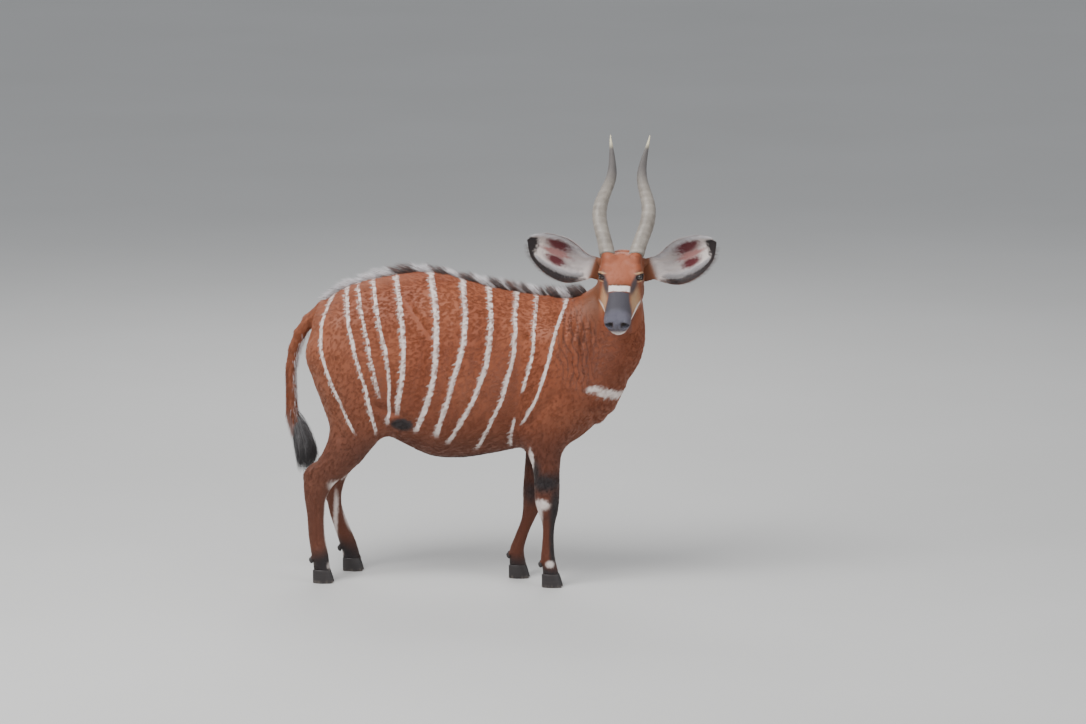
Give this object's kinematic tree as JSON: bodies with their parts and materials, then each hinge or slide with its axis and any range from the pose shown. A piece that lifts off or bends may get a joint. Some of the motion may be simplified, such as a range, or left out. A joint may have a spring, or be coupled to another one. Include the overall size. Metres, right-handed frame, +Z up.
{
  "type": "bongo antelope",
  "caption": "Life-size still model of a standing bongo antelope, its head turned to its right, with lyre horns, large ears, white flank stripes, a dorsal crest and a tufted tail.",
  "frame": {"origin": "on the floor, below the middle of the bounding box", "axes": "+Z up, +X from the tail to the chest, +Y to the animal's left; the head is turned to face -Y"},
  "size_m": [1.669, 0.5918, 1.6916],
  "materials": {
    "coat": "short chestnut fur with white stripes",
    "head": "short chestnut fur with a dark muzzle",
    "leg": "short dark chestnut fur",
    "ear": "fringed skin",
    "horn": "satin horn",
    "hoof": "worn horn",
    "eye": "wet gloss"
  },
  "bodies": {
    "root": {"ear_left": "ear", "ear_right": "ear", "eye_left": "eye", "eye_right": "eye", "foreleg_left": "leg", "foreleg_right": "leg", "head": "head", "hindleg_left": "leg", "hindleg_right": "leg", "hoof_foreleg_left_inner": "hoof", "hoof_foreleg_left_outer": "hoof", "hoof_foreleg_right_inner": "hoof", "hoof_foreleg_right_outer": "hoof", "hoof_hindleg_left_inner": "hoof", "hoof_hindleg_left_outer": "hoof", "hoof_hindleg_right_inner": "hoof", "hoof_hindleg_right_outer": "hoof", "horn_left": "horn", "horn_right": "horn", "neck": "coat", "tail": "coat", "torso": "coat"}
  },
  "joints": []
}
